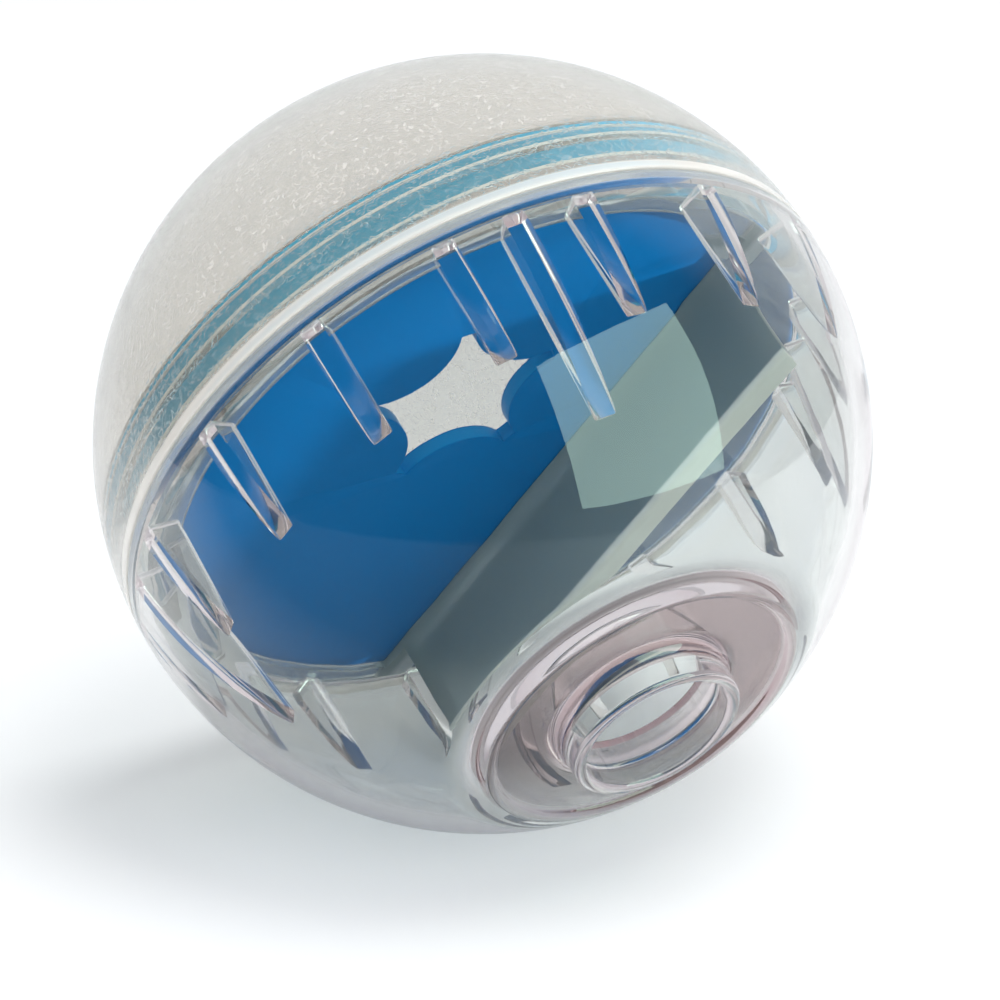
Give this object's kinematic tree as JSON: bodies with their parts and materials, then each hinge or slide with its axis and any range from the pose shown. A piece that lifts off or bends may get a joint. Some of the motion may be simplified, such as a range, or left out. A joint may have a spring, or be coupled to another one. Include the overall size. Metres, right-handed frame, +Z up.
{
  "type": "treat ball",
  "caption": "Clear treat ball for dogs with screwed halves: a smooth ribbed half with an exit collar, a frosted half, and a blue star-hole disc and milky divider inside.",
  "frame": {"origin": "centre of the ball", "axes": "+Z up from the floor as the ball lies, -Y towards the front, with the exit hole facing the front and turned 30 degrees down"},
  "size_m": [0.102, 0.102, 0.102],
  "materials": {
    "clear_shell": "clear moulded polycarbonate, polished",
    "frosted_shell": "clear moulded polycarbonate with a fine worm-like grain",
    "blue_disc": "blue moulded polypropylene, satin gloss",
    "milky_divider": "milky natural polypropylene, satin gloss"
  },
  "bodies": {
    "smooth_half": {"smooth_half": "clear_shell"},
    "divider": {"divider": "milky_divider"},
    "star_disc": {"star_disc": "blue_disc"},
    "textured_half": {"textured_half": "frosted_shell"}
  },
  "joints": [
    {"name": "lift_out", "type": "slide", "parent": "smooth_half", "child": "divider", "axis": [0, 0.866, 0.5], "range_m": [0, 0.06]},
    {"name": "level_set", "type": "hinge", "parent": "divider", "child": "star_disc", "pos_m": [0, 0, 0], "axis": [0, 0.866, 0.5], "continuous": true},
    {"name": "unscrew", "type": "hinge", "parent": "divider", "child": "textured_half", "pos_m": [0, 0, 0], "axis": [0, 0.866, 0.5], "range_deg": [0, 540]}
  ]
}
